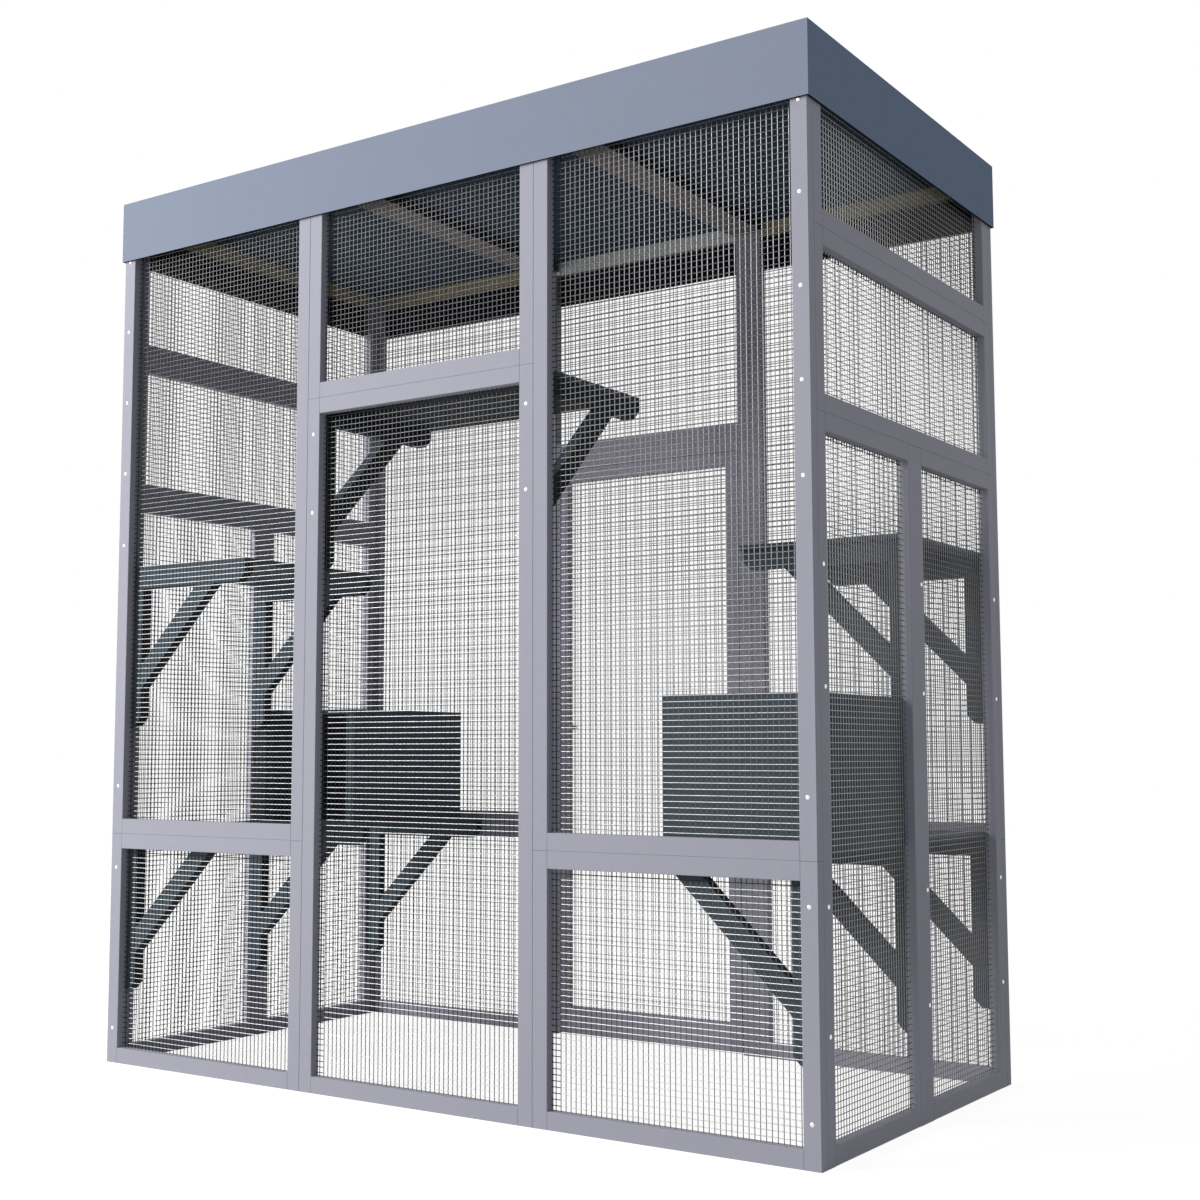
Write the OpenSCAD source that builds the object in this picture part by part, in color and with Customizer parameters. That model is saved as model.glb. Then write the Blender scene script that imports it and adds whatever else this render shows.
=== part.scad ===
// Outdoor catio: a walk-in cage of slim timber frames and wire mesh, with a
// flat roof, shelves on triangular brackets, two cat houses and a rear door.
// Millimetres, Z up. The origin is the middle of the footprint, on the
// ground, and the front wall faces -Y.

/* [Cabin] */
// Overall width across the three front columns
cabin_w = 2010; // [1500:10:2700]
// Overall depth from the front face to the back face
cabin_d = 1030; // [800:10:1500]
// Height of the walls, which is where the roof deck sits
wall_h = 2220; // [2080:10:2600]
// Height of the low panels at both ends of the front and back walls
low_panel_h = 580; // [400:10:900]
// Height of the middle panel, and so of the doorway panel behind it
mid_panel_h = 1641; // [1300:1:1800]
// Height of the tall lower panel of a side wall
side_low_h = 1464; // [1200:1:1600]
// Height of the narrow panel above it
side_mid_h = 379; // [250:1:420]

/* [Frame strips] */
// Face width of a strip
strip_w = 38; // [28:1:60]
// Thickness of a strip, and so of a wall
strip_t = 25; // [18:1:40]
// Small bevel along every long edge of a strip
strip_edge = 1; // [0.5:0.1:3]
// Hairline left at every joint between two pieces of one sub-assembly
joint_gap = 0.1; // [0.05:0.01:0.3]

/* [Mesh] */
// Spacing of the wires that are drawn, one in five of the fine mesh
mesh_pitch = 63.5; // [50:0.5:150]
// Thickness of a wire, drawn square so that crossings meet on flats
wire_t = 1.6; // [1:0.1:3]
// Set-back of the mesh from the inside face of its frame
mesh_inset = 5.4; // [3:0.1:10]

/* [Roof] */
// Thickness of the roof deck
deck_t = 33; // [18:1:60]
// How far the skirt hangs below the top of the walls
skirt_drop = 125; // [60:5:200]
// Thickness of the skirt boards
skirt_t = 6; // [4:0.5:15]
// Width of a rafter
rafter_w = 90; // [50:5:140]
// Depth of a rafter
rafter_t = 28; // [18:1:60]

/* [Shelves] */
// Depth of every shelf, out from its wall
shelf_w = 415; // [300:5:450]
// Thickness of a shelf board
shelf_t = 12; // [8:1:25]
// Rise of the two long low shelves above the low panels
low_shelf_rise = 17; // [0:1:60]
// Height of the top of the two short shelves
short_shelf_z = 1273; // [1180:1:1400]

/* [Brackets] */
// Width of the bracket timber as seen from the side
stock_w = 45; // [30:1:60]
// Thickness of the bracket timber along the wall
stock_t = 28; // [18:1:36]
// Length of the bracket leg, from the underside of the board to its foot
leg_len = 403; // [340:1:430]
// Where the outer edge of the brace meets the arm, out from the wall
brace_out = 306; // [240:1:320]
// Cut corner at the arm tip and at the foot of the leg
cut_corner = 22; // [8:1:30]

/* [Cat houses] */
// Width of a cat house
house_w = 335; // [250:5:400]
// Length of a cat house
house_l = 476; // [350:1:480]
// Height of a cat house, standing on its shelf
house_h = 310; // [220:5:330]
// Thickness of the two side boards
house_side_t = 28; // [15:1:40]
// Thickness of the top board and of the closed end
house_board_t = 12; // [8:1:20]

/* [Door] */
// Gap at the sides and the top of the door leaf
door_gap = 1.5; // [1.5:0.5:5]
// Gap under the door leaf, which closes down to the ground
door_lift = 3; // [2:0.5:12]
// Length of a hinge
hinge_len = 90; // [60:5:120]
// Outer radius of a hinge knuckle
knuckle_r = 5; // [4.5:0.1:7]
// Radius of a hinge pin
pin_r = 2.6; // [2:0.1:3]
// Thickness of a hinge leaf and of a bolt plate
plate_t = 2; // [1.5:0.1:3]
// Width of a hinge leaf
plate_w = 30; // [20:1:32]
// Height of the lower hinge's middle above the ground
low_hinge_z = 300; // [200:10:500]
// Height of the upper hinge's middle above the ground
high_hinge_z = 1340; // [900:10:1350]
// Height of the bolt above the ground
bolt_z = 860; // [700:10:1000]
// Radius of the bolt rod
bolt_r = 4; // [3:0.1:5]
// How far the bolt slides into its keeper
bolt_throw = 15; // [10:1:15]

/* [Hidden] */

// One column of the front wall is a third of the width
col_w = cabin_w / 3;
// Space between the front and back walls
inner_d = cabin_d - 2 * strip_t;
// Inside faces of the left wall and of the front wall
in_x = -cabin_w / 2 + strip_t;
in_y = -inner_d / 2;
// The post in the middle of a side wall is two strips wide
post_w = 2 * strip_w;
side_mid_z = side_low_h + side_mid_h;
// The long shelves lie just above the low panels, and the high shelf is
// level with the top of the middle panel
low_shelf_z = low_panel_h + low_shelf_rise;
high_shelf_z = mid_panel_h;

// Door leaf, in the doorway panel
leaf_u0 = col_w + strip_w + door_gap;
leaf_u1 = 2 * col_w - strip_w - door_gap;
leaf_z0 = door_lift;
leaf_z1 = mid_panel_h - strip_w - door_gap;

foot_h = 2 * strip_w;
// Bare margin round the mesh that lies on the leaf
mesh_edge = 1;

// Hinge: its pin stands over the gap, just clear of the timber
pin_u = leaf_u0 - door_gap / 2;
pin_v = -knuckle_r - 0.4;
knuckle_gap = 0.5;
pin_play = 0.08;

// Bolt: it slides under two straps on the door leaf, drawn back when open
bolt_play = 0.3;
bolt_v = -plate_t - bolt_play - bolt_r;
strap_len = 6;
strap_t = 2;
strap_foot = 5;
plate_len = strip_w - 4;
plate_u = leaf_u1 - 2 - plate_len;
knob_r = 3;
knob_len = 14;
knob_u = plate_u + strap_len + knob_r + 0.4;
bolt_u0 = plate_u - bolt_throw + 2;
bolt_u1 = leaf_u1 + 1;
keeper_u = bolt_u1 + 4;
keeper_len = 14;

timber = [0.68, 0.69, 0.75];
furniture = [0.42, 0.50, 0.56];
wire_grey = [0.72, 0.71, 0.68];
roofing = [0.50, 0.56, 0.68];
steel = [0.62, 0.63, 0.65];

// Places a wall drawn along X, with its outside face on Y = 0

module on_front() {
    translate([-cabin_w / 2, -cabin_d / 2, 0]) children();
}

module on_back() {
    rotate([0, 0, 180]) on_front() children();
}

module on_left() {
    translate([-cabin_w / 2, inner_d / 2, 0]) rotate([0, 0, -90]) children();
}

module on_right() {
    rotate([0, 0, 180]) on_left() children();
}

// Section of a strip, with its four edges bevelled

module section(a, b) {
    e = strip_edge;
    polygon([
        [e, 0], [a - e, 0], [a, e], [a, b - e],
        [a - e, b], [e, b], [0, b - e], [0, e]
    ]);
}

module stile(u, z0, z1, w = strip_w) {
    translate([u, 0, z0]) linear_extrude(z1 - z0) section(w, strip_t);
}

module rail(u0, u1, z, h = strip_w) {
    translate([u0 + joint_gap, 0, z]) rotate([90, 0, 90])
        linear_extrude(u1 - u0 - 2 * joint_gap) section(strip_t, h);
}

// A frame: two full-height stiles with the rails between them

module frame(u0, u1, z0, z1) {
    color(timber) {
        stile(u0, z0, z1);
        stile(u1 - strip_w, z0, z1);
        for (z = [z0, z1 - strip_w])
            rail(u0 + strip_w, u1 - strip_w, z);
    }
}

// The doorway has no sill, so that the door leaf can swing clear

module doorway(u0, u1, z1) {
    color(timber) {
        stile(u0, 0, z1);
        stile(u1 - strip_w, 0, z1);
        rail(u0 + strip_w, u1 - strip_w, z1 - strip_w);
    }
}

// The tall side frame has a wide post in the middle

module post_frame(u0, u1, z0, z1) {
    mid = (u0 + u1) / 2;
    color(timber) {
        stile(u0, z0, z1);
        stile(mid - post_w / 2, z0, z1, post_w);
        stile(u1 - strip_w, z0, z1);
        for (z = [z0, z1 - strip_w]) {
            rail(u0 + strip_w, mid - post_w / 2, z);
            rail(mid + post_w / 2, u1 - strip_w, z);
        }
    }
}

// Evenly spaced wires, with equal margins at both ends

function wire_count(span) = max(1, floor(span / mesh_pitch));
function wire_at(i, span) =
    span / 2 + (i - (wire_count(span) - 1) / 2) * mesh_pitch;

// Welded mesh in an opening: upright wires outside, level wires behind. Its
// back is set in from the inside face of the frame, if not told otherwise

module mesh(u0, u1, z0, z1, back = strip_t - mesh_inset) {
    w = u1 - u0;
    h = z1 - z0;
    front = back - 2 * wire_t - joint_gap;
    color(wire_grey) translate([u0, 0, z0]) {
        for (i = [0 : wire_count(w) - 1])
            translate([wire_at(i, w) - wire_t / 2, front, 0])
                cube([wire_t, wire_t, h]);
        for (i = [0 : wire_count(h) - 1])
            translate([0, back - wire_t, wire_at(i, h) - wire_t / 2])
                cube([w, wire_t, wire_t]);
    }
}

// Mesh that fills a plain frame with the given outside edges

module frame_mesh(u0, u1, z0, z1) {
    mesh(u0 + strip_w, u1 - strip_w, z0 + strip_w, z1 - strip_w);
}

// Front wall, left to right

module front_left_low_frame() { on_front() frame(0, col_w, 0, low_panel_h); }
module front_left_high_frame() {
    on_front() frame(0, col_w, low_panel_h, wall_h);
}
module front_middle_frame() {
    on_front() frame(col_w, 2 * col_w, 0, mid_panel_h);
}
module front_transom_frame() {
    on_front() frame(col_w, 2 * col_w, mid_panel_h, wall_h);
}
module front_right_low_frame() {
    on_front() frame(2 * col_w, cabin_w, 0, low_panel_h);
}
module front_right_high_frame() {
    on_front() frame(2 * col_w, cabin_w, low_panel_h, wall_h);
}
module front_left_low_mesh() {
    on_front() frame_mesh(0, col_w, 0, low_panel_h);
}
module front_left_high_mesh() {
    on_front() frame_mesh(0, col_w, low_panel_h, wall_h);
}
module front_middle_mesh() {
    on_front() frame_mesh(col_w, 2 * col_w, 0, mid_panel_h);
}
module front_transom_mesh() {
    on_front() frame_mesh(col_w, 2 * col_w, mid_panel_h, wall_h);
}
module front_right_low_mesh() {
    on_front() frame_mesh(2 * col_w, cabin_w, 0, low_panel_h);
}
module front_right_high_mesh() {
    on_front() frame_mesh(2 * col_w, cabin_w, low_panel_h, wall_h);
}

// Back wall, the front wall turned round; left and right as seen from the
// front of the cabin, so its right column comes first

module back_right_low_frame() { on_back() frame(0, col_w, 0, low_panel_h); }
module back_right_high_frame() {
    on_back() frame(0, col_w, low_panel_h, wall_h);
}
module back_doorway_frame() {
    on_back() doorway(col_w, 2 * col_w, mid_panel_h);
}
module back_transom_frame() {
    on_back() frame(col_w, 2 * col_w, mid_panel_h, wall_h);
}
module back_left_low_frame() {
    on_back() frame(2 * col_w, cabin_w, 0, low_panel_h);
}
module back_left_high_frame() {
    on_back() frame(2 * col_w, cabin_w, low_panel_h, wall_h);
}
module back_right_low_mesh() {
    on_back() frame_mesh(0, col_w, 0, low_panel_h);
}
module back_right_high_mesh() {
    on_back() frame_mesh(0, col_w, low_panel_h, wall_h);
}
module back_transom_mesh() {
    on_back() frame_mesh(col_w, 2 * col_w, mid_panel_h, wall_h);
}
module back_left_low_mesh() {
    on_back() frame_mesh(2 * col_w, cabin_w, 0, low_panel_h);
}
module back_left_high_mesh() {
    on_back() frame_mesh(2 * col_w, cabin_w, low_panel_h, wall_h);
}

// Side walls stand between the front and back walls

module side_low_mesh(far) {
    half = (inner_d - post_w) / 2 - strip_w;
    u = far ? strip_w + half + post_w : strip_w;
    mesh(u, u + half, strip_w, side_low_h - strip_w);
}

module left_low_frame() { on_left() post_frame(0, inner_d, 0, side_low_h); }
module left_mid_frame() {
    on_left() frame(0, inner_d, side_low_h, side_mid_z);
}
module left_top_frame() { on_left() frame(0, inner_d, side_mid_z, wall_h); }
module left_low_back_mesh() { on_left() side_low_mesh(false); }
module left_low_front_mesh() { on_left() side_low_mesh(true); }
module left_mid_mesh() {
    on_left() frame_mesh(0, inner_d, side_low_h, side_mid_z);
}
module left_top_mesh() {
    on_left() frame_mesh(0, inner_d, side_mid_z, wall_h);
}
module right_low_frame() { on_right() post_frame(0, inner_d, 0, side_low_h); }
module right_mid_frame() {
    on_right() frame(0, inner_d, side_low_h, side_mid_z);
}
module right_top_frame() { on_right() frame(0, inner_d, side_mid_z, wall_h); }
module right_low_front_mesh() { on_right() side_low_mesh(false); }
module right_low_back_mesh() { on_right() side_low_mesh(true); }
module right_mid_mesh() {
    on_right() frame_mesh(0, inner_d, side_low_h, side_mid_z);
}
module right_top_mesh() {
    on_right() frame_mesh(0, inner_d, side_mid_z, wall_h);
}

// Roof: a deck on the walls, a skirt round it, and two rafters below

module roof_deck() {
    color(roofing) translate([-cabin_w / 2, -cabin_d / 2, wall_h])
        cube([cabin_w, cabin_d, deck_t]);
}

module roof_skirt() {
    z = wall_h - skirt_drop;
    h = skirt_drop + deck_t;
    color(roofing) {
        for (turn = [0, 180]) rotate([0, 0, turn]) {
            translate([-cabin_w / 2 - skirt_t, -cabin_d / 2 - skirt_t, z])
                cube([cabin_w + 2 * skirt_t, skirt_t, h]);
            translate([-cabin_w / 2 - skirt_t, joint_gap - cabin_d / 2, z])
                cube([skirt_t, cabin_d - 2 * joint_gap, h]);
        }
    }
}

module rafter(x) {
    color(timber) translate([x - rafter_w / 2, in_y, wall_h - rafter_t])
        cube([rafter_w, inner_d, rafter_t]);
}

module left_rafter() { rafter(-col_w / 2); }
module right_rafter() { rafter(col_w / 2); }

// Shelf boards lie on the bracket arms, with their edges on the walls

module board(x, y, w, d, top) {
    color(furniture) translate([x, y, top - shelf_t]) cube([w, d, shelf_t]);
}

module left_low_shelf() { board(in_x, in_y, shelf_w, inner_d, low_shelf_z); }
module right_low_shelf() { rotate([0, 0, 180]) left_low_shelf(); }
module left_short_shelf() {
    board(in_x, in_y, shelf_w, inner_d / 2, short_shelf_z);
}
module right_short_shelf() { rotate([0, 0, 180]) left_short_shelf(); }
module high_shelf() {
    board(-col_w / 2, in_y, col_w, shelf_w, high_shelf_z);
}

// A bracket stands out along +X from a wall on X = 0, with its arm's top on
// Z = 0. The arm lies on the leg, and the brace is cut flush to both.

module bracket_stick(points) {
    translate([0, stock_t, 0]) rotate([90, 0, 0])
        linear_extrude(stock_t) polygon(points);
}

module bracket() {
    reach = shelf_w;
    brace_in = brace_out - stock_w * sqrt(2);
    foot = -leg_len;
    seam = stock_w + joint_gap;
    bracket_stick([
        [0, 0], [reach, 0], [reach, -stock_w + cut_corner],
        [reach - cut_corner, -stock_w], [0, -stock_w]
    ]);
    bracket_stick([
        [0, -seam], [stock_w, -seam], [stock_w, foot + cut_corner],
        [stock_w - cut_corner, foot], [0, foot]
    ]);
    bracket_stick([
        [brace_in - joint_gap, -seam], [brace_out - joint_gap, -seam],
        [seam, joint_gap - brace_out], [seam, joint_gap - brace_in]
    ]);
}

// Brackets on the left wall, with the near edge of each on the given Y

module wall_brackets(rows, top) {
    color(furniture) for (y = rows)
        translate([in_x, y, top - shelf_t]) bracket();
}

module left_low_brackets() {
    wall_brackets([in_y, -strip_w, -in_y - stock_t], low_shelf_z);
}
module right_low_brackets() { rotate([0, 0, 180]) left_low_brackets(); }
module left_short_brackets() {
    wall_brackets([in_y, -strip_w], short_shelf_z);
}
module right_short_brackets() { rotate([0, 0, 180]) left_short_brackets(); }

module high_brackets() {
    color(furniture) for (x = [-col_w / 2, col_w / 2 - stock_t])
        translate([x + stock_t, in_y, high_shelf_z - shelf_t])
            rotate([0, 0, 90]) bracket();
}

// Cat house: two thick sides, a closed end against the wall and a thin top.
// It stands on the long shelf, open towards the middle of the side wall.

module left_cat_house() {
    top_z = house_h - house_board_t;
    side_h = top_z - joint_gap;
    end_w = house_w - 2 * (house_side_t + joint_gap);
    y0 = -in_y - house_l;
    color(furniture) translate([in_x, y0, low_shelf_z]) {
        for (x = [0, house_w - house_side_t]) translate([x, 0, 0])
            cube([house_side_t, house_l, side_h]);
        translate([(house_w - end_w) / 2, house_l - house_board_t, 0])
            cube([end_w, house_board_t, side_h]);
        translate([0, 0, top_z]) cube([house_w, house_l, house_board_t]);
    }
}
module right_cat_house() { rotate([0, 0, 180]) left_cat_house(); }

// Door leaf in the doorway, opening outwards. Its foot rail is twice as wide
// as the others, and its mesh lies on the inside face, right to the edges.

module door_leaf() {
    on_back() color(timber) {
        stile(leaf_u0, leaf_z0, leaf_z1);
        stile(leaf_u1 - strip_w, leaf_z0, leaf_z1);
        rail(leaf_u0 + strip_w, leaf_u1 - strip_w, leaf_z0, foot_h);
        rail(leaf_u0 + strip_w, leaf_u1 - strip_w, leaf_z1 - strip_w);
    }
}
module door_mesh() {
    on_back() mesh(leaf_u0 + mesh_edge, leaf_u1 - mesh_edge,
        leaf_z0 + mesh_edge, leaf_z1 - mesh_edge,
        strip_t + 2 * wire_t + joint_gap);
}

module at_hinges() {
    for (z = [low_hinge_z, high_hinge_z])
        on_back() translate([pin_u, pin_v, z - hinge_len / 2]) children();
}

// One half of a hinge: its plate on one side of the pin, and its knuckles

module hinge_half(side, spans) {
    clear = knuckle_r + knuckle_gap;
    far = clear + plate_w - knuckle_gap - knuckle_r;
    plate_v = -pin_v - plate_t;
    translate([side > 0 ? clear : -far, plate_v, 0])
        cube([far - clear, plate_t, hinge_len]);
    for (s = spans) {
        translate([side > 0 ? 0 : -clear, plate_v, s[0]])
            cube([clear, plate_t, s[1] - s[0]]);
        translate([0, 0, s[0]])
            cylinder(r = knuckle_r, h = s[1] - s[0], $fn = 48);
    }
}

third = hinge_len / 3;

module hinge_frame_leaves() {
    color(steel) at_hinges() union() {
        hinge_half(-1, [
            [0, third - knuckle_gap / 2],
            [2 * third + knuckle_gap / 2, hinge_len]
        ]);
        cylinder(r = pin_r, h = hinge_len, $fn = 48);
    }
}

module hinge_door_leaves() {
    color(steel) at_hinges() difference() {
        hinge_half(1, [
            [third + knuckle_gap / 2, 2 * third - knuckle_gap / 2]
        ]);
        translate([0, 0, -1])
            cylinder(r = pin_r + pin_play, h = hinge_len + 2, $fn = 48);
    }
}

// Bolt parts lie along U, on the outside face of the back wall

module at_bolt(u, v) {
    on_back() translate([u, v, bolt_z]) children();
}

// A bent strap with two feet, standing on a surface and facing along U

module strap(len, hold, rise) {
    wide = hold + strap_t;
    rotate([90, 0, 90]) linear_extrude(len) difference() {
        union() {
            translate([-rise - strap_t, -wide])
                square([rise + strap_t, 2 * wide]);
            translate([-strap_t, -wide - strap_foot])
                square([strap_t, 2 * (wide + strap_foot)]);
        }
        translate([-rise, -hold]) square([rise + 1, 2 * hold]);
    }
}

module bolt_plate() {
    hold = bolt_r + bolt_play;
    wide = hold + strap_t + strap_foot;
    color(steel) union() {
        at_bolt(plate_u, -plate_t) translate([0, 0, -wide])
            cube([plate_len, plate_t, 2 * wide]);
        for (u = [plate_u, plate_u + plate_len - strap_len])
            at_bolt(u, -plate_t) strap(strap_len, hold, 2 * hold);
    }
}

module bolt() {
    color(steel) union() {
        at_bolt(bolt_u0, bolt_v) rotate([0, 90, 0])
            cylinder(r = bolt_r, h = bolt_u1 - bolt_u0, $fn = 48);
        at_bolt(knob_u, bolt_v) rotate([90, 0, 0])
            cylinder(r = knob_r, h = knob_len, $fn = 48);
    }
}

module bolt_keeper() {
    hold = bolt_r + 2 * bolt_play;
    color(steel) at_bolt(keeper_u, 0)
        strap(keeper_len, hold, plate_t + 2 * hold);
}

front_left_low_frame();
front_left_high_frame();
front_middle_frame();
front_transom_frame();
front_right_low_frame();
front_right_high_frame();
back_left_low_frame();
back_left_high_frame();
back_doorway_frame();
back_transom_frame();
back_right_low_frame();
back_right_high_frame();
left_low_frame();
left_mid_frame();
left_top_frame();
right_low_frame();
right_mid_frame();
right_top_frame();
front_left_low_mesh();
front_left_high_mesh();
front_middle_mesh();
front_transom_mesh();
front_right_low_mesh();
front_right_high_mesh();
back_left_low_mesh();
back_left_high_mesh();
back_transom_mesh();
back_right_low_mesh();
back_right_high_mesh();
left_low_front_mesh();
left_low_back_mesh();
left_mid_mesh();
left_top_mesh();
right_low_front_mesh();
right_low_back_mesh();
right_mid_mesh();
right_top_mesh();
roof_deck();
roof_skirt();
left_rafter();
right_rafter();
left_low_shelf();
right_low_shelf();
left_short_shelf();
right_short_shelf();
high_shelf();
left_low_brackets();
right_low_brackets();
left_short_brackets();
right_short_brackets();
high_brackets();
left_cat_house();
right_cat_house();
door_leaf();
door_mesh();
hinge_frame_leaves();
hinge_door_leaves();
bolt_plate();
bolt();
bolt_keeper();
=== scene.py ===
"""Looks for the catio: paint, bare timber, fine wire mesh and screws, dressed over the CAD frame."""
import math

import bmesh
import bpy
from mathutils import Matrix, Vector


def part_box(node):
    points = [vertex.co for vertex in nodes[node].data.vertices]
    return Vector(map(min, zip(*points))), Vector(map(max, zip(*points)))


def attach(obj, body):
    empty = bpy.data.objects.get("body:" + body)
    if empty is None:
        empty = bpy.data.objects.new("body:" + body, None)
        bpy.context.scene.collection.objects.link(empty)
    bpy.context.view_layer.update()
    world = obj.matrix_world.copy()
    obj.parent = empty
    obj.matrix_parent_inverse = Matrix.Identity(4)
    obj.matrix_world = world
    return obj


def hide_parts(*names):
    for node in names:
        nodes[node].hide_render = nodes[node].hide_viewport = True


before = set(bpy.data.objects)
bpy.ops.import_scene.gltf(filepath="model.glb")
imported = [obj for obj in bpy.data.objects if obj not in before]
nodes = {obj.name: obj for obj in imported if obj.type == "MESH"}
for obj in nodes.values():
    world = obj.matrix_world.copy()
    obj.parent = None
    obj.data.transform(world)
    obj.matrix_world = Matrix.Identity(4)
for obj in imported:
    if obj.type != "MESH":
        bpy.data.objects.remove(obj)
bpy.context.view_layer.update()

# Sizes of the cabin in metres, the same as the CAD part's
CABIN_W = 2.010
CABIN_D = 1.030
WALL_H = 2.220
STRIP_W = 0.038
STRIP_T = 0.025
POST_W = 2 * STRIP_W
FOOT_RAIL = 0.076
JOINT_GAP = 0.0001

# The fine mesh, and how far the frame's painted shadow reaches over it, beside a front left post and under a
# top rail
MESH_PITCH = 0.0127
WIRE_R = 0.001
WIRE_SIDES = 6
POST_SHADE = 0.024
RAIL_SHADE = 0.012

# Screw heads
SCREW_R = 0.0048
SCREW_RISE = 0.0015
SCREW_SIDES = 16

# Brushed paint: the share of its streaks beside its mottle, their swing in roughness, and their depth
STREAK_SHARE = 0.45
STREAK_ROUGHNESS = 0.12
STREAK_DEPTH = 0.00002

# The Pointiness of an edge where its paint starts to wear, and where it is worn the most
WEAR_STARTS = 0.52
WEAR_ENDS = 0.62

# Zinc gives back this much more blue than red and green
ZINC_BLUE = 1.04


def srgb(r, g, b):
    """A colour given as it looks on screen, 0 to 255, as the linear colour that a shader takes."""
    def lin(v):
        v /= 255
        return v / 12.92 if v <= 0.04045 else ((v + 0.055) / 1.055) ** 2.4
    return (lin(r), lin(g), lin(b), 1)


WHITE = (1, 1, 1, 1)
MID_GREY = (0.5, 0.5, 0.5, 1)

# Nodes, and the small steps that several finishes are made of


def plug(tree, node, inlets):
    """Gives each named inlet of a node a plain value, or links it to the outlet of another node."""
    for label, value in inlets.items():
        if isinstance(value, bpy.types.NodeSocket):
            tree.links.new(value, node.inputs[label])
        else:
            node.inputs[label].default_value = value


def add(tree, kind, inlets=None, **settings):
    node = tree.nodes.new(kind)
    for key, value in settings.items():
        setattr(node, key, value)
    plug(tree, node, inlets or {})
    return node


def effect(tree, group, inlets):
    """Places a shared effect in a material, and gives its outlets."""
    return add(tree, "ShaderNodeGroup", inlets, node_tree=group).outputs


def on_object(tree):
    """The place of each point on the object, in metres."""
    return add(tree, "ShaderNodeTexCoord").outputs["Object"]


def calc(tree, operation, *terms):
    """One step of arithmetic, on plain numbers and on values that change over the surface."""
    return add(tree, "ShaderNodeMath", dict(enumerate(terms)), operation=operation).outputs[0]


def noise(tree, place, scale, detail, roughness=0.5, distortion=0):
    """A noise pattern, with about scale spots to the metre."""
    inlets = {
        "Vector": place,
        "Scale": scale,
        "Detail": detail,
        "Roughness": roughness,
        "Distortion": distortion,
    }
    return add(tree, "ShaderNodeTexNoise", inlets).outputs["Fac"]


def rise(tree, value, start, end):
    """0 up to start, 1 from end on, and a smooth rise between them."""
    inlets = {"Value": value, "From Min": start, "From Max": end}
    return add(tree, "ShaderNodeMapRange", inlets, interpolation_type="SMOOTHSTEP").outputs["Result"]


def spread(tree, value, lowest, highest):
    """A value from 0 to 1, spread from lowest to highest."""
    inlets = {"Value": value, "To Min": lowest, "To Max": highest}
    return add(tree, "ShaderNodeMapRange", inlets).outputs["Result"]


def scaled(tree, color, amount):
    """A colour, darker or paler by an amount that changes over the surface."""
    return add(tree, "ShaderNodeVectorMath", {0: color, "Scale": amount}, operation="SCALE").outputs[0]


def mixed(tree, share, first, second):
    """The first colour, with a share of the second in it. A Mix node has its colours at 6, 7 and 2."""
    inlets = {"Factor": share, 6: first, 7: second}
    return add(tree, "ShaderNodeMix", inlets, data_type="RGBA").outputs[2]


def ramp(tree, value, stops):
    """A colour that follows a value from 0 to 1, by pairs of a value and a colour."""
    tones = add(tree, "ShaderNodeValToRGB", {"Fac": value})
    marks = tones.color_ramp.elements
    while len(marks) < len(stops):
        marks.new(0.5)
    for mark, (position, color) in zip(marks, stops):
        mark.position = position
        mark.color = color
    return tones.outputs["Color"]


def bumped(tree, height, strength, depth):
    """The normals of a relief, its depth in metres."""
    inlets = {"Strength": strength, "Distance": depth, "Height": height}
    return add(tree, "ShaderNodeBump", inlets).outputs["Normal"]


# Effects shared by several finishes

COLOR = "NodeSocketColor"
NUMBER = "NodeSocketFloat"
DIRECTION = "NodeSocketVector"


def new_group(name, inlets, outlets):
    """An empty effect, with the kind and the usual value of each inlet, and the kind of each outlet."""
    group = bpy.data.node_groups.new(name, "ShaderNodeTree")
    for label, (kind, value) in inlets.items():
        group.interface.new_socket(label, in_out="INPUT", socket_type=kind).default_value = value
    for label, kind in outlets.items():
        group.interface.new_socket(label, in_out="OUTPUT", socket_type=kind)
    return group, group.nodes.new("NodeGroupInput").outputs, group.nodes.new("NodeGroupOutput")


def brushed_paint_group():
    """Paint brushed along a board: long faint streaks, a soft mottle, and the height of the streaks."""
    group, given, out = new_group(
        "brushed_paint",
        {
            "Color": (COLOR, MID_GREY),
            "Streaks": (DIRECTION, (1, 1, 1)),
            "Shade Change": (NUMBER, 0.06),
            "Roughness": (NUMBER, 0.5),
        },
        {"Color": COLOR, "Roughness": NUMBER, "Height": NUMBER},
    )
    place = on_object(group)
    drawn_out = add(group, "ShaderNodeVectorMath", {0: place, 1: given["Streaks"]}, operation="MULTIPLY")
    streak = noise(group, drawn_out.outputs[0], scale=60, detail=4, roughness=0.6)
    mottle = noise(group, place, scale=3.5, detail=3)
    both = calc(group, "MULTIPLY_ADD", streak, STREAK_SHARE, mottle)
    centred = calc(group, "SUBTRACT", both, (1 + STREAK_SHARE) / 2)
    shade = calc(group, "MULTIPLY_ADD", centred, given["Shade Change"], 1)
    plug(group, out, {
        "Color": scaled(group, given["Color"], shade),
        "Roughness": calc(group, "MULTIPLY_ADD", centred, STREAK_ROUGHNESS, given["Roughness"]),
        "Height": streak,
    })
    return group


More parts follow.
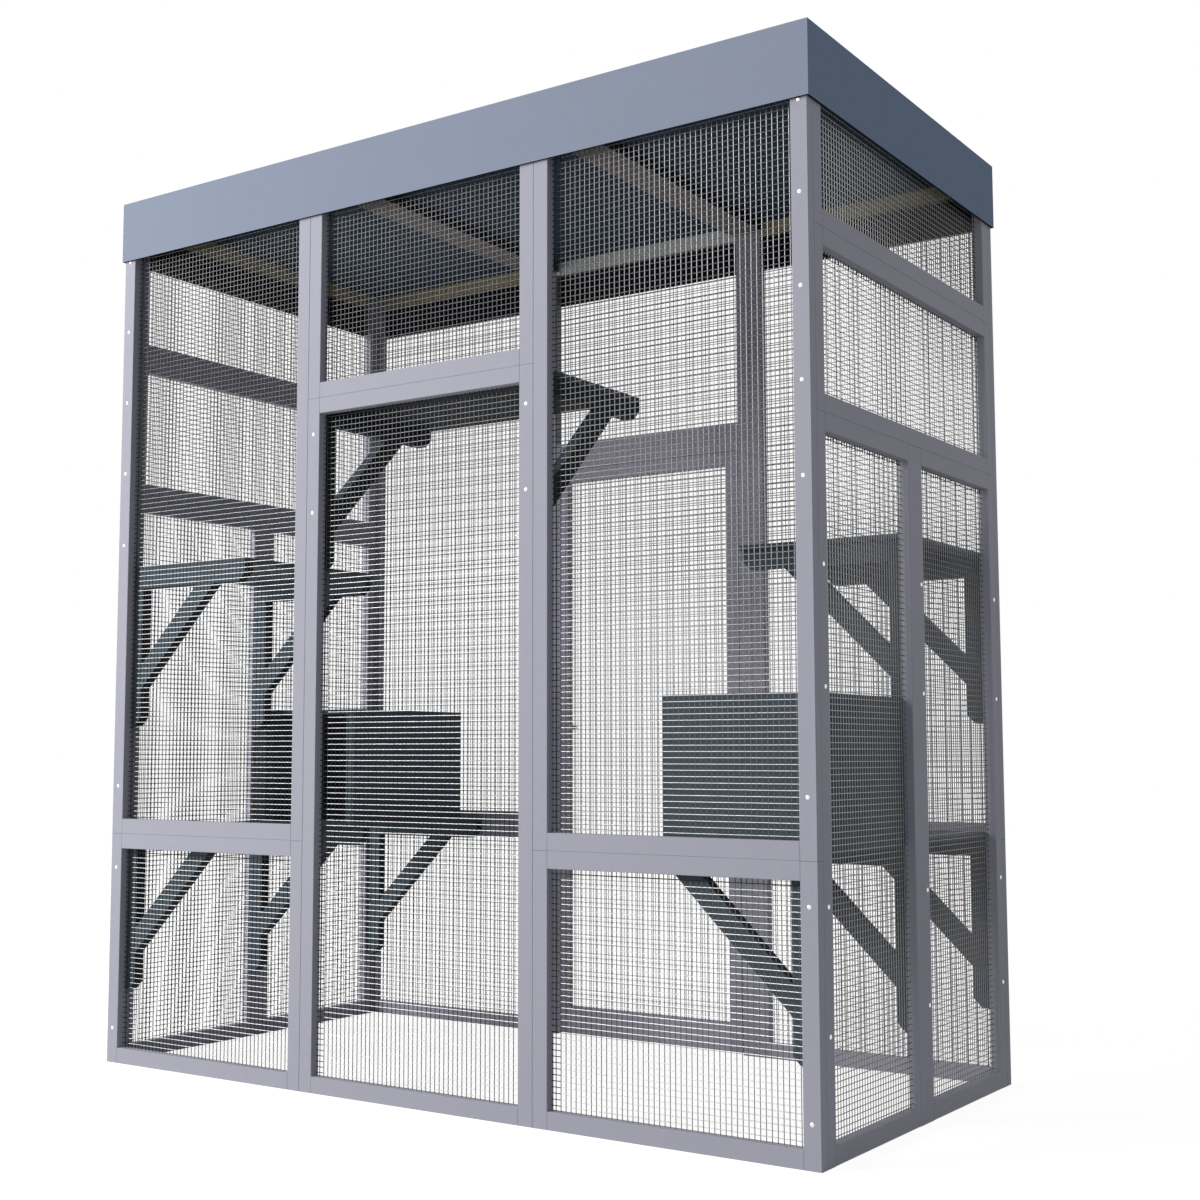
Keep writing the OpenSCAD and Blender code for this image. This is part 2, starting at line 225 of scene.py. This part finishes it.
def worn_edge_group():
    """Paint worn thin along the outside edges, in patches."""
    group, given, out = new_group(
        "worn_edge",
        {
            "Color": (COLOR, MID_GREY),
            "Worn Color": (COLOR, (0.7, 0.7, 0.7, 1)),
            "Amount": (NUMBER, 0.3),
        },
        {"Color": COLOR},
    )
    shape = add(group, "ShaderNodeNewGeometry")
    edge = rise(group, shape.outputs["Pointiness"], WEAR_STARTS, WEAR_ENDS)
    patches = calc(group, "MULTIPLY", edge, noise(group, on_object(group), scale=45, detail=5))
    inlets = {0: patches, 1: given["Amount"]}
    share = add(group, "ShaderNodeMath", inlets, operation="MULTIPLY", use_clamp=True).outputs[0]
    plug(group, out, {"Color": mixed(group, share, given["Color"], given["Worn Color"])})
    return group


def zinc_mottle_group():
    """A fine mottle on galvanised wire, that varies its tone and its roughness a little."""
    group, given, out = new_group(
        "zinc_mottle",
        {"Color": (COLOR, MID_GREY), "Roughness": (NUMBER, 0.4)},
        {"Color": COLOR, "Roughness": NUMBER},
    )
    mottle = noise(group, on_object(group), scale=40, detail=3)
    swing = spread(group, mottle, lowest=0.8, highest=1.15)
    plug(group, out, {
        "Color": scaled(group, given["Color"], swing),
        "Roughness": calc(group, "MULTIPLY", swing, given["Roughness"]),
    })
    return group


def far_end_group():
    """How far a point lies towards a wall's far end: 0 up to From and 1 beyond To, along one direction."""
    group, given, out = new_group(
        "far_end",
        {"Along": (DIRECTION, (1, 0, 0)), "From": (NUMBER, 0.25), "To": (NUMBER, 0.85)},
        {"Share": NUMBER},
    )
    inlets = {0: on_object(group), 1: given["Along"]}
    place = add(group, "ShaderNodeVectorMath", inlets, operation="DOT_PRODUCT")
    plug(group, out, {"Share": rise(group, place.outputs["Value"], given["From"], given["To"])})
    return group


def seam_line_group():
    """A thin dark line round a post at one height, where two frames meet."""
    group, given, out = new_group(
        "seam_line",
        {
            "Color": (COLOR, MID_GREY),
            "Height": (NUMBER, 0.5),
            "Line Width": (NUMBER, 0.0012),
            "Darkness": (NUMBER, 0.5),
        },
        {"Color": COLOR},
    )
    axes = add(group, "ShaderNodeSeparateXYZ", {"Vector": on_object(group)})
    half_line = calc(group, "MULTIPLY", given["Line Width"], 0.5)
    on_line = calc(group, "COMPARE", axes.outputs["Z"], given["Height"], half_line)
    light_left = calc(group, "SUBTRACT", 1, calc(group, "MULTIPLY", on_line, given["Darkness"]))
    plug(group, out, {"Color": scaled(group, given["Color"], light_left)})
    return group


BRUSHED_PAINT = brushed_paint_group()
WORN_EDGE = worn_edge_group()
ZINC_MOTTLE = zinc_mottle_group()
FAR_END = far_end_group()
SEAM_LINE = seam_line_group()

# Paints


def new_material(name):
    material = bpy.data.materials.new(name)
    material.use_nodes = True
    return material, material.node_tree, material.node_tree.nodes["Principled BSDF"]


def painted(
    name, color, worn, streaks, shade_change=0.06, roughness=0.5, wear=0.25, shine=0.12, seams=()
):
    """Painted timber, with its brush strokes along one axis, and a seam line at each height in seams."""
    material, tree, bsdf = new_material(name)
    strokes = {"Color": color, "Streaks": streaks, "Shade Change": shade_change, "Roughness": roughness}
    paint = effect(tree, BRUSHED_PAINT, strokes)
    coat = effect(tree, WORN_EDGE, {"Color": paint["Color"], "Worn Color": worn, "Amount": wear})["Color"]
    for height in seams:
        coat = effect(tree, SEAM_LINE, {"Color": coat, "Height": height})["Color"]
    plug(tree, bsdf, {
        "Base Color": coat,
        "Roughness": paint["Roughness"],
        "Normal": bumped(tree, paint["Height"], strength=0.15, depth=STREAK_DEPTH),
        "Specular IOR Level": shine,
    })
    return material


def dull_coat(name, color, streaks, roughness=0.7):
    """A dull coat with no worn edges, for the painted shade of undersides and insides, and for rough timber.
    """
    return painted(name, color, color, streaks, shade_change=0.1, roughness=roughness, wear=0)


# Brush strokes drawn out along one axis
ALONG_X = (0.04, 1, 1)
ALONG_Y = (1, 0.04, 1)
ALONG_Z = (1, 1, 0.04)

FRAME_PAINT = srgb(174, 174, 188)
FRAME_WORN = srgb(196, 192, 190)
# LOW_RAIL is painted light: the frame paint made paler for the inner faces of the lowest rails
LOW_RAIL = srgb(196, 196, 209)
SHELF_PAINT = srgb(73, 86, 94)
SHELF_WORN = srgb(104, 114, 120)
# The shelf paint made paler as painted light, for the left short shelf and the left brackets
PAINTED_LIGHT_SHELF = srgb(88, 103, 112)
# Painted shade: near-black shelf paint for the undersides of shelves and the right and lower sides of
# brackets
PAINTED_SHADE_UNDERSIDE = srgb(34, 42, 47)
ROOF_PAINT = srgb(147, 156, 174)
# The roof paint made bluer for the outside of the skirt at the ends, as a painted bluish shade
PAINTED_SHADE_ROOF_ENDS = srgb(137, 156, 182)
ROOF_WORN = srgb(168, 174, 188)
# Painted shade: the roof paint made dark for the underside of the roof deck
PAINTED_SHADE_ROOF_UNDERSIDE = srgb(54, 74, 92)
# Painted shade: near-black for the inner and lower faces of the roof skirt
PAINTED_SHADE_SKIRT = srgb(24, 29, 40)
RAFTER_PAINT = srgb(150, 140, 136)
# Painted shade: near-black for the sides of the rafters that look right
PAINTED_SHADE_RAFTER = srgb(44, 46, 52)
# A paler coat for the top rail over the doorway, made near-white as painted light
PAINTED_LIGHT_TRANSOM = srgb(236, 236, 230)

SHELF_COAT = {"shade_change": 0.12, "roughness": 0.6, "wear": 0.4}
ROOF_COAT = {"shade_change": 0.04, "roughness": 0.75, "wear": 0.2, "shine": 0.03}

rail_paint = painted("rail_paint", FRAME_PAINT, FRAME_WORN, ALONG_X)
side_rail_paint = painted("side_rail_paint", FRAME_PAINT, FRAME_WORN, ALONG_Y)
low_rail_painted_light = painted("low_rail_painted_light", LOW_RAIL, FRAME_WORN, ALONG_X)
shelf_paint = painted("shelf_paint", SHELF_PAINT, SHELF_WORN, ALONG_Y, **SHELF_COAT)
house_paint = painted("house_paint", SHELF_PAINT, SHELF_WORN, ALONG_Y, **SHELF_COAT)
bracket_paint = painted("bracket_paint", SHELF_PAINT, SHELF_WORN, ALONG_Z, **SHELF_COAT)
shelf_painted_light = painted("shelf_painted_light", PAINTED_LIGHT_SHELF, SHELF_WORN, ALONG_Y, **SHELF_COAT)
bracket_painted_light = painted("bracket_painted_light", PAINTED_LIGHT_SHELF, SHELF_WORN, ALONG_Z, **SHELF_COAT)
roof_paint = painted("roof_paint", ROOF_PAINT, ROOF_WORN, ALONG_X, **ROOF_COAT)
roof_end_painted_shade = painted("roof_end_painted_shade", PAINTED_SHADE_ROOF_ENDS, ROOF_WORN, ALONG_Y, **ROOF_COAT)
bracket_painted_shade = dull_coat("under_bracket_paint", PAINTED_SHADE_UNDERSIDE, ALONG_Z)
shelf_painted_shade = dull_coat("under_shelf_paint", PAINTED_SHADE_UNDERSIDE, ALONG_Y)
roof_underside_painted_shade = dull_coat("under_roof_paint", PAINTED_SHADE_ROOF_UNDERSIDE, ALONG_X)
skirt_inside_painted_shade = dull_coat("inside_skirt_paint", PAINTED_SHADE_SKIRT, ALONG_X, roughness=0.8)
rafter_paint = dull_coat("rafter_paint", RAFTER_PAINT, ALONG_Y, roughness=0.6)
rafter_side_painted_shade = dull_coat("rafter_side_paint", PAINTED_SHADE_RAFTER, ALONG_Y)
transom_rail_painted_light = dull_coat("transom_rail_painted_light", PAINTED_LIGHT_TRANSOM, ALONG_X, roughness=0.6)

# Bare timber, steel and galvanised wire


def bare_timber_material():
    """The unpainted top rails: yellowish softwood with its grain along the rail."""
    material, tree, bsdf = new_material("bare_timber")
    drawn_out = add(tree, "ShaderNodeMapping", {"Vector": on_object(tree), "Scale": (0.3, 0.3, 6)})
    grain = noise(tree, drawn_out.outputs["Vector"], scale=14, detail=8, distortion=0.6)
    plug(tree, bsdf, {
        "Base Color": ramp(tree, grain, [(0.35, srgb(158, 146, 108)), (0.7, srgb(200, 186, 142))]),
        "Roughness": 0.75,
        "Normal": bumped(tree, grain, strength=0.2, depth=0.0003),
    })
    return material


def plated_steel(name, color, roughness, spots):
    """Steel with the faint mottle of its plating, about spots to the metre."""
    material, tree, bsdf = new_material(name)
    mottle = noise(tree, on_object(tree), scale=spots, detail=4)
    darker = [0.85 * c for c in color[:3]] + [1]
    plug(tree, bsdf, {
        "Base Color": ramp(tree, mottle, [(0.3, darker), (0.7, color)]),
        "Roughness": spread(tree, mottle, roughness - 0.06, roughness + 0.08),
        "Metallic": 1,
    })
    return material


def zinc_tones(tree, height, stops):
    """Painted highlight and shade: how much of the pale studio the wire gives back, by a height in metres
    and a tone.
    """
    return ramp(tree, height, [(z / WALL_H, (tone, tone, tone * ZINC_BLUE, 1)) for z, tone in stops])


def zinc_wire(name, near, far=None, roughness=0.4, along=(1, 0, 0), reach=(0.25, 0.85)):
    """Galvanised mesh wire with painted highlight and shade, in the tones of a wall's near end, and of its
    far end where they differ.

    The one goes over into the other along a direction, between the two places in reach.
    """
    material, tree, bsdf = new_material(name)
    axes = add(tree, "ShaderNodeSeparateXYZ", {"Vector": on_object(tree)})
    height = calc(tree, "DIVIDE", axes.outputs["Z"], WALL_H)
    tone = zinc_tones(tree, height, near)
    if far:
        share = effect(tree, FAR_END, {"Along": along, "From": reach[0], "To": reach[1]})["Share"]
        tone = mixed(tree, share, tone, zinc_tones(tree, height, far))
    zinc = effect(tree, ZINC_MOTTLE, {"Color": tone, "Roughness": roughness})
    plug(tree, bsdf, {"Base Color": zinc["Color"], "Roughness": zinc["Roughness"], "Metallic": 1})
    return material


# The painted highlights and shade of the front and back walls' wires change from left to right, as zinc_wire
# has it without more, and those of the side walls from front to back
SIDE_RUN = {"along": (0, 1, 0), "reach": (-0.4, 0.2)}
INSIDE_ROUGHNESS = 0.6

bare_timber = bare_timber_material()
# The wires' tones by height and along each wall are painted highlights and painted shade
level_wire = zinc_wire(
    "level_wire",
    near=[
        (0.1, 0.5), (0.5, 0.5), (0.7, 0.44), (1.2, 0.54), (1.45, 0.22),
        (1.6, 0.12), (1.72, 0.09), (1.88, 0.1), (2.0, 0.11),
    ],
    far=[(0.1, 0.5), (0.25, 0.7), (0.5, 0.6), (0.95, 0.42), (1.2, 0.16), (1.8, 0.1), (2.0, 0.12)],
)
upright_wire = zinc_wire(
    "upright_wire",
    near=[(0.1, 0.02), (1.1, 0.03), (1.5, 0.09), (1.75, 0.1), (1.9, 0.11), (2.0, 0.16)],
    far=[(0.1, 0.13), (0.75, 0.13), (1.0, 0.2), (1.25, 0.32), (1.65, 0.34), (1.85, 0.42)],
)
side_level_wire = zinc_wire(
    "side_level_wire",
    near=[
        (0.1, 0.12), (0.45, 0.14), (0.62, 0.3), (0.9, 0.28), (1.12, 0.1),
        (1.4, 0.16), (1.8, 0.08), (1.95, 0.28),
    ],
    far=[(0.1, 0.1), (0.45, 0.1), (0.62, 0.2), (0.9, 0.19), (1.12, 0.06), (1.8, 0.04), (1.95, 0.12)],
    **SIDE_RUN,
)
side_upright_wire = zinc_wire(
    "side_upright_wire",
    near=[
        (0.15, 0.36), (0.38, 0.34), (0.5, 0.22), (0.95, 0.28), (1.1, 0.4),
        (1.24, 0.38), (1.34, 0.9), (1.8, 0.85), (1.95, 0.4),
    ],
    far=[
        (0.15, 0.27), (0.38, 0.25), (0.5, 0.16), (0.95, 0.21), (1.1, 0.24), (1.24, 0.2),
        (1.34, 0.55), (1.5, 0.82), (1.65, 0.82), (1.8, 0.45), (1.95, 0.12),
    ],
    **SIDE_RUN,
)
# The inner sides of the wires take painted shade, darkest from 1.3 m up as the roof's painted shadow
inside_level_wire = zinc_wire(
    "inside_level_wire", [(0.1, 0.5), (1.1, 0.5), (1.3, 0.01)], roughness=INSIDE_ROUGHNESS
)
left_inside_wire = zinc_wire(
    "left_inside_wire", [(0.1, 0.08), (0.6, 0.12), (1.1, 0.22), (1.3, 0.01)], roughness=INSIDE_ROUGHNESS
)
inside_upright_wire = zinc_wire(
    "inside_upright_wire", [(0.1, 0.04), (1.1, 0.03), (1.3, 0.01)], roughness=INSIDE_ROUGHNESS
)
# A painted shadow of the frame on the wires beside a front left post and under each top rail
shaded_wire = zinc_wire("shaded_wire", [(0.1, 0.03), (2.1, 0.03)])
screw_head = plated_steel("screw_head", srgb(232, 232, 234), roughness=0.3, spots=60)
hinge_steel = plated_steel("hinge_steel", srgb(178, 180, 184), roughness=0.35, spots=80)

# The mesh sheets: every wire of the real pitch, upright and level, in one layer


def in_scene(name, data):
    """A new object in the scene, made of a mesh, a lamp or a camera."""
    thing = bpy.data.objects.new(name, data)
    bpy.context.scene.collection.objects.link(thing)
    return thing


def new_piece(name, shape, materials):
    """A piece of the catio, with its materials in the order of their slots."""
    data = bpy.data.meshes.new(name)
    shape.to_mesh(data)
    shape.free()
    for material in materials:
        data.materials.append(material)
    return in_scene(name, data)


# Slots of a sheet's wires on the outside. The slots of their inner sides, in painted shade, are INSIDE
# further on.
# SHADED is for wires in the frame's painted shadow
LEVEL, UPRIGHT, SHADED = 0, 1, 2
INSIDE = 3


def sheet_wires(side):
    """The materials of the wires of one wall's sheets, in the order of their slots."""
    level, upright, inside_level = level_wire, upright_wire, inside_level_wire
    if side in ("left", "right"):
        level, upright = side_level_wire, side_upright_wire
    if side == "left":
        inside_level = left_inside_wire
    return [level, upright, shaded_wire, inside_level, inside_upright_wire, inside_upright_wire]


def wire_places(span):
    """The places of the wires across an opening, evenly about its middle."""
    count = max(1, int(span / MESH_PITCH))
    return [span / 2 + (i - (count - 1) / 2) * MESH_PITCH for i in range(count)]


def add_wire(sheet, start, end, slot):
    """One straight wire, open at both ends, where the frame covers it or the next length goes on.

    Its outer half takes the material in slot, and its inner half the one that is INSIDE further on.
    """
    start, end = Vector(start), Vector(end)
    along = (end - start).normalized()
    outward = Vector((0, -1, 0))
    up = along.cross(outward)
    rings = []
    for point in (start, end):
        ring = []
        for k in range(WIRE_SIDES):
            turn = math.tau * (k - 0.5) / WIRE_SIDES
            ring.append(sheet.verts.new(point + WIRE_R * (outward * math.cos(turn) + up * math.sin(turn))))
        rings.append(ring)
    for k in range(WIRE_SIDES):
        n = (k + 1) % WIRE_SIDES
        face = sheet.faces.new((rings[0][k], rings[0][n], rings[1][n], rings[1][k]))
        face.smooth = True
        looks_out = math.cos(math.tau * k / WIRE_SIDES) > 0
        face.material_index = slot if looks_out else slot + INSIDE


# Each wall's own plane: across it from its left end as seen from outside, into the cabin, and up
INNER_D = CABIN_D - 2 * STRIP_T
FRONT = Matrix.Translation((-CABIN_W / 2, -CABIN_D / 2, 0))
BACK = Matrix.Rotation(math.pi, 4, "Z") @ FRONT
LEFT = Matrix.Translation((-CABIN_W / 2, INNER_D / 2, 0)) @ Matrix.Rotation(-math.pi / 2, 4, "Z")
RIGHT = Matrix.Rotation(math.pi, 4, "Z") @ LEFT
WALLS = {"front": FRONT, "back": BACK, "door": BACK, "left": LEFT, "right": RIGHT}


def mesh_sheet(node):
    """The fine welded mesh that stands for one CAD sheet.

    Beside the left posts of the front wall, and under every top rail, its wires take a painted shadow of the
    frame.
    """
    side = node.split("_")[0]
    to_wall = WALLS[side].inverted()
    low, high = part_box(node)
    middle = max((to_wall @ low).y, (to_wall @ high).y) - 2 * WIRE_R
    if node == "door_mesh":
        # The door's wires show between the strips of its leaf only
        low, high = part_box("door_leaf")
        low = low + Vector((STRIP_W, 0, FOOT_RAIL))
        high = high - Vector((STRIP_W, 0, STRIP_W))
    u0, u1 = sorted(((to_wall @ low).x, (to_wall @ high).x))
    z0, z1 = low.z, high.z
    post_shade = POST_SHADE if side == "front" else 0
    sheet = bmesh.new()
    for from_left in wire_places(u1 - u0):
        u = u0 + from_left
        slot = SHADED if from_left < post_shade else UPRIGHT
        add_wire(sheet, (u, middle, z0), (u, middle, z1 - RAIL_SHADE), slot)
        add_wire(sheet, (u, middle, z1 - RAIL_SHADE), (u, middle, z1), SHADED)
    for from_sill in wire_places(z1 - z0):
        z = z0 + from_sill
        slot = SHADED if z1 - z0 - from_sill < RAIL_SHADE else LEVEL
        if post_shade:
            add_wire(sheet, (u0, middle, z), (u0 + post_shade, middle, z), SHADED)
        add_wire(sheet, (u0 + post_shade, middle, z), (u1, middle, z), slot)
    sheet.transform(WALLS[side])
    piece = new_piece(node + "_fine", sheet, sheet_wires(side))
    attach(piece, "door" if node == "door_mesh" else "cabin")
    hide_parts(node)


for node in sorted(nodes):
    if node.endswith("_mesh"):
        mesh_sheet(node)

# Paint on the CAD timber and steel

# How much of a face's normal has to point one way for the face to look that way
FACING = 0.5
# The same for the slanted underside of a brace
BRACE_FACING = 0.3
# How far an inner face of the skirt looks back towards the middle of the cabin, at least
SKIRT_TURNED_IN = 0.05
# Places closer than this count as one
SLACK = 0.001


def paint_faces(node, materials, choose=lambda face: 0):
    """Gives each face of a CAD node one of the materials, by the number that choose gives the face."""
    data = nodes[node].data
    data.materials.clear()
    for material in materials:
        data.materials.append(material)
    for face in data.polygons:
        face.material_index = choose(face)


# The numbers of a frame's coats. The lowest rails are paler inside, as painted light, and the top rails of
# three walls are unpainted, with the one over the doorway in a near-white coat of painted light.
POST, RAIL, TOP_RAIL, LIT_RAIL = 0, 1, 2, 3
INWARD = {"back": Vector((0, -1, 0)), "door": Vector((0, -1, 0)), "left": Vector((1, 0, 0))}
LOW_RAIL_TOP = FOOT_RAIL + 0.004
GROUND_OR_ROOF = 0.01

post_paints = {}


def post_paint(node):
    """The paint of a frame's posts, with a seam line where a frame below or above it meets it."""
    low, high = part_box(node)
    seams = tuple(round(z, 4) for z in (low.z, high.z) if GROUND_OR_ROOF < z < WALL_H - GROUND_OR_ROOF)
    if node == "door_leaf":
        seams = ()
    if seams not in post_paints:
        label = "_".join(["post_paint"] + [str(round(z * 1000)) for z in seams])
        post_paints[seams] = painted(label, FRAME_PAINT, FRAME_WORN, ALONG_Z, seams=seams)
    return post_paints[seams]


def paint_frame(node):
    """Paints a frame or the door leaf: its posts, its rails, and its bare rails and rails in painted light.
    """
    low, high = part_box(node)
    on_side = node.startswith(("left_", "right_"))
    across = 1 if on_side else 0
    rails_start = low[across] + STRIP_W + JOINT_GAP / 2
    rails_end = high[across] - STRIP_W - JOINT_GAP / 2
    has_middle_post = node in ("left_low_frame", "right_low_frame")
    has_bare_rail = abs(high.z - WALL_H) < SLACK and node.startswith(("back_", "left_", "right_"))
    inward = INWARD.get(node.split("_")[0])

    def coat(face):
        place = face.center[across]
        on_middle_post = has_middle_post and abs(place) <= POST_W / 2
        if on_middle_post or not rails_start < place < rails_end:
            return POST
        # The inner faces of the lowest rails take the paler paint, as painted light
        if inward and face.center.z < LOW_RAIL_TOP and face.normal.dot(inward) > FACING:
            return LIT_RAIL
        if has_bare_rail and face.center.z > WALL_H - STRIP_W - SLACK:
            return TOP_RAIL
        return RAIL

    rail = side_rail_paint if on_side else rail_paint
    # The rail over the doorway takes its near-white coat of painted light
    top_rail = transom_rail_painted_light if node == "back_transom_frame" else bare_timber
    paint_faces(node, [post_paint(node), rail, top_rail, low_rail_painted_light], coat)


for node in sorted(nodes):
    if node.endswith("_frame") or node == "door_leaf":
        paint_frame(node)

# The left short shelf takes the shelf paint in painted light
for material, names in (
    (shelf_paint, ("left_low_shelf", "right_low_shelf")),
    (shelf_painted_light, ("left_short_shelf",)),
    (bracket_paint, ("right_low_brackets", "right_short_brackets")),
    (house_paint, ("left_cat_house", "right_cat_house")),
    (hinge_steel, ("hinge_frame_leaves", "hinge_door_leaves", "bolt_plate", "bolt", "bolt_keeper")),
):
    for node in names:
        paint_faces(node, [material])


# Faces that look down, for painted shade on shelves and the roof deck
def underside(face):
    return 1 if face.normal.z < -FACING else 0


def right_side(face):
    return 1 if face.normal.x > FACING else 0


def shaded_sides(face):
    """The sides of a bracket that look right or down, the slanted underside of its brace with them, for
    painted shade.
    """
    return 1 if face.normal.x > FACING or face.normal.z < -BRACE_FACING else 0


def skirt_side(face):
    """0 outside at the front and back, 1 on faces that look in or down, and 2 outside at the ends."""
    # 1 takes painted shade, and 2 a bluer painted shade
    normal, place = face.normal, face.center
    looks_in = normal.x * place.x + normal.y * place.y < -SKIRT_TURNED_IN
    if looks_in or normal.z < -FACING:
        return 1
    return 2 if abs(normal.x) > FACING else 0


# Painted shade on the undersides of the right short shelf and the high shelf
for node in ("right_short_shelf", "high_shelf"):
    paint_faces(node, [shelf_paint, shelf_painted_shade], underside)
# The left brackets take painted light, and all brackets painted shade on their right and lower sides
for node in ("left_low_brackets", "left_short_brackets"):
    paint_faces(node, [bracket_painted_light, bracket_painted_shade], shaded_sides)
paint_faces("high_brackets", [bracket_paint, bracket_painted_shade], shaded_sides)
# Painted shade on the sides of the rafters that look right
for node in ("left_rafter", "right_rafter"):
    paint_faces(node, [rafter_paint, rafter_side_painted_shade], right_side)
# Painted shade on the underside of the roof deck
paint_faces("roof_deck", [roof_paint, roof_underside_painted_shade], underside)
# Painted shade inside and under the skirt, and a bluer painted shade outside at its ends
paint_faces("roof_skirt", [roof_paint, skirt_inside_painted_shade, roof_end_painted_shade], skirt_side)

# Screws

# The outline of a domed head from its edge to its top, in shares of its radius and its rise
DOME = ((1.0, 0.0), (1.0, 0.15), (0.93, 0.42), (0.72, 0.78), (0.38, 0.97))


def screw_heads(name, places):
    """Domed screw heads. Each place is a point on a face and the way out of it."""
    heads = bmesh.new()
    for point, out in places:
        point, out = Vector(point), Vector(out)
        side = out.orthogonal().normalized()
        up = out.cross(side)
        rings = []
        for r, h in DOME:
            ring = []
            for k in range(SCREW_SIDES):
                turn = math.tau * k / SCREW_SIDES
                offset = side * math.cos(turn) + up * math.sin(turn)
                ring.append(heads.verts.new(point + SCREW_R * r * offset + out * SCREW_RISE * h))
            rings.append(ring)
        top = heads.verts.new(point + out * SCREW_RISE)
        for k in range(SCREW_SIDES):
            n = (k + 1) % SCREW_SIDES
            for below, above in zip(rings, rings[1:]):
                heads.faces.new((below[k], below[n], above[n], above[k])).smooth = True
            heads.faces.new((rings[-1][k], rings[-1][n], top)).smooth = True
    piece = new_piece(name, heads, [screw_head])
    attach(piece, "cabin")


# Places of the screws, up the outer and the middle posts of the front wall, and up the side walls
OUTER_POST = CABIN_W / 2 - STRIP_W / 2
OUTER_POST_SCREWS = (2.092, 1.902, 1.711, 1.521, 1.330, 0.702, 0.493, 0.086)
MIDDLE_POST = 0.316
MIDDLE_POST_SCREWS = (1.553, 1.362)
SIDE_POSTS = (-0.469, 0.024, 0.476)
SIDE_POST_SCREWS = (1.158, 0.917, 0.491, 0.245)

front_places = []
for post, heights in ((OUTER_POST, OUTER_POST_SCREWS), (MIDDLE_POST, MIDDLE_POST_SCREWS)):
    for z in heights:
        for x in (-post, post):
            front_places.append(((x, -CABIN_D / 2, z), (0, -1, 0)))
screw_heads("front_screws", front_places)

side_places = []
for z in SIDE_POST_SCREWS:
    for y in SIDE_POSTS:
        side_places.append(((CABIN_W / 2, y, z), (1, 0, 0)))
        side_places.append(((-CABIN_W / 2, -y, z), (-1, 0, 0)))
screw_heads("side_screws", side_places)

# Camera at the photo's angle, fitted to the corners of the frames


def photo_camera():
    data = bpy.data.cameras.new("photo_camera")
    data.sensor_width = 36
    data.lens = 50.127
    data.shift_x = 0.03755
    data.shift_y = -0.00086
    data.clip_end = 100
    camera = in_scene("photo_camera", data)
    place = (2.431, -3.456, 0.788)
    right = Vector((0.8220, 0.5695, 0)).normalized()
    ahead = Vector((-0.5671, 0.8185, 0.0916)).normalized()
    up = right.cross(ahead).normalized()
    turn = Matrix((right, up, -ahead)).transposed().to_4x4()
    camera.matrix_world = Matrix.Translation(place) @ turn
    bpy.context.scene.camera = camera


photo_camera()

# Floor, sky and lamps

FLOOR_REACH = 12
FLOOR_GREY = (0.52, 0.52, 0.52, 1)
FLOOR_IN_SHADE = (0.33, 0.325, 0.305, 1)
FLOOR_GLOW = 0.9
SKY_TINT = (0.92, 0.94, 1.0, 1)
SKY_LIGHT = 0.31


def white_seen(tree):
    """1 for a camera and for what shiny metal and glass show, and 0 for the light on the object."""
    ray = add(tree, "ShaderNodeLightPath").outputs
    seen = calc(tree, "MAXIMUM", ray["Is Camera Ray"], ray["Is Glossy Ray"])
    return calc(tree, "MAXIMUM", seen, ray["Is Transmission Ray"])


def plain_floor():
    """A plain pale floor that a camera sees as nearly pure white, with the object's own faint shadow."""
    data = bpy.data.meshes.new("floor")
    corners = [(x * FLOOR_REACH, y * FLOOR_REACH, 0) for x, y in ((-1, -1), (1, -1), (1, 1), (-1, 1))]
    data.from_pydata(corners, [], [(0, 1, 2, 3)])
    material, tree, bsdf = new_material("floor_white")
    plug(tree, bsdf, {"Base Color": FLOOR_GREY, "Roughness": 0.9, "Specular IOR Level": 0})
    glow = add(tree, "ShaderNodeEmission", {"Color": WHITE, "Strength": FLOOR_GLOW})
    shadowed = add(tree, "ShaderNodeBsdfDiffuse", {"Color": FLOOR_IN_SHADE})
    pale = add(tree, "ShaderNodeAddShader", {0: glow.outputs[0], 1: shadowed.outputs[0]})
    inlets = {"Fac": white_seen(tree), 1: bsdf.outputs[0], 2: pale.outputs[0]}
    mix = add(tree, "ShaderNodeMixShader", inlets)
    plug(tree, tree.nodes["Material Output"], {"Surface": mix.outputs[0]})
    data.materials.append(material)
    in_scene("floor", data)


def studio_sky():
    """An even sky that lights the object softly, and that a camera sees as white."""
    world = bpy.data.worlds.new("studio_sky")
    world.use_nodes = True
    bpy.context.scene.world = world
    tree = world.node_tree
    soft = tree.nodes["Background"]
    plug(tree, soft, {"Color": SKY_TINT, "Strength": SKY_LIGHT})
    white = add(tree, "ShaderNodeBackground", {"Color": WHITE, "Strength": 1})
    inlets = {"Fac": white_seen(tree), 1: soft.outputs[0], 2: white.outputs[0]}
    mix = add(tree, "ShaderNodeMixShader", inlets)
    plug(tree, tree.nodes["World Output"], {"Surface": mix.outputs[0]})


def lamp(name, place, target, size, power):
    data = bpy.data.lights.new(name, "AREA")
    data.size = size
    data.energy = power
    aim = Vector(target) - Vector(place)
    turn = aim.to_track_quat("-Z", "Y").to_matrix().to_4x4()
    in_scene(name, data).matrix_world = Matrix.Translation(place) @ turn


plain_floor()
studio_sky()
lamp("front_left_lamp", place=(-6.6, -7.4, 6.0), target=(0, 0, 1.1), size=5.0, power=855)
lamp("left_fill", place=(-4.2, -4.6, 0.6), target=(0, 0, 0.6), size=2.0, power=80)
bpy.context.scene.view_settings.view_transform = "Standard"
